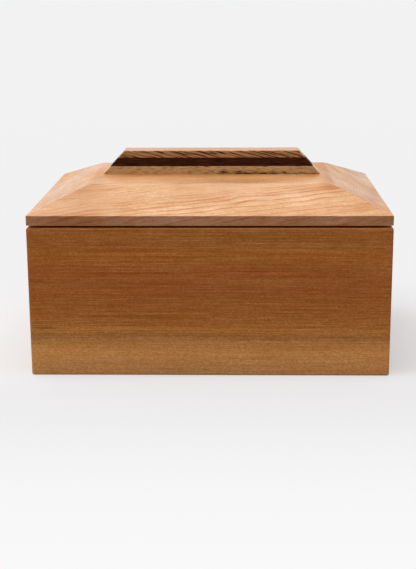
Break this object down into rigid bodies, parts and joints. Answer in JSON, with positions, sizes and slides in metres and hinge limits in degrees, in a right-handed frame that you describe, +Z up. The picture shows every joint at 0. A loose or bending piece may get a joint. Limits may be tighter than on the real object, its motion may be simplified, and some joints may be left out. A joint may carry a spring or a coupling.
{
  "type": "wooden keepsake box",
  "caption": "Rectangular wooden box with mitred sides, a lift-off bevelled lid and a laminated bar handle, for keeping papers and keepsakes.",
  "frame": {"origin": "under the middle of the box, on the surface that it stands on", "axes": "+X to the right along the box's length, +Y from the front to the back, +Z up"},
  "size_m": [0.28, 0.208, 0.1639],
  "materials": {
    "body_wood": "reddish brown cedar, planed and oiled",
    "bottom_wood": "pale plywood, sanded",
    "spline_wood": "pale hardwood, sawn",
    "lid_wood": "cherry, planed, satin oil finish",
    "handle_base_wood": "olive brown hardwood, satin oil finish",
    "handle_core_wood": "nearly black hardwood, satin oil finish",
    "handle_cap_wood": "striped brown hardwood, satin oil finish",
    "brass": "turned, slightly dulled"
  },
  "bodies": {
    "box": {"front_board": "body_wood", "right_board": "body_wood", "back_board": "body_wood", "left_board": "body_wood", "bottom_panel": "bottom_wood", "corner_spline_front_left": "spline_wood", "corner_spline_front_right": "spline_wood", "corner_spline_back_right": "spline_wood", "corner_spline_back_left": "spline_wood"},
    "lid": {"lid_board": "lid_wood", "lid_lip_front": "lid_wood", "lid_lip_right": "lid_wood", "lid_lip_back": "lid_wood", "lid_lip_left": "lid_wood", "handle_base_strip": "handle_base_wood", "handle_core_strip": "handle_core_wood", "handle_cap_strip": "handle_cap_wood", "handle_screw_left": "brass", "handle_screw_right": "brass"}
  },
  "joints": [
    {"name": "lid_lift", "type": "slide", "parent": "box", "child": "lid", "axis": [0, 0, 1], "range_m": [0, 0.15]}
  ]
}
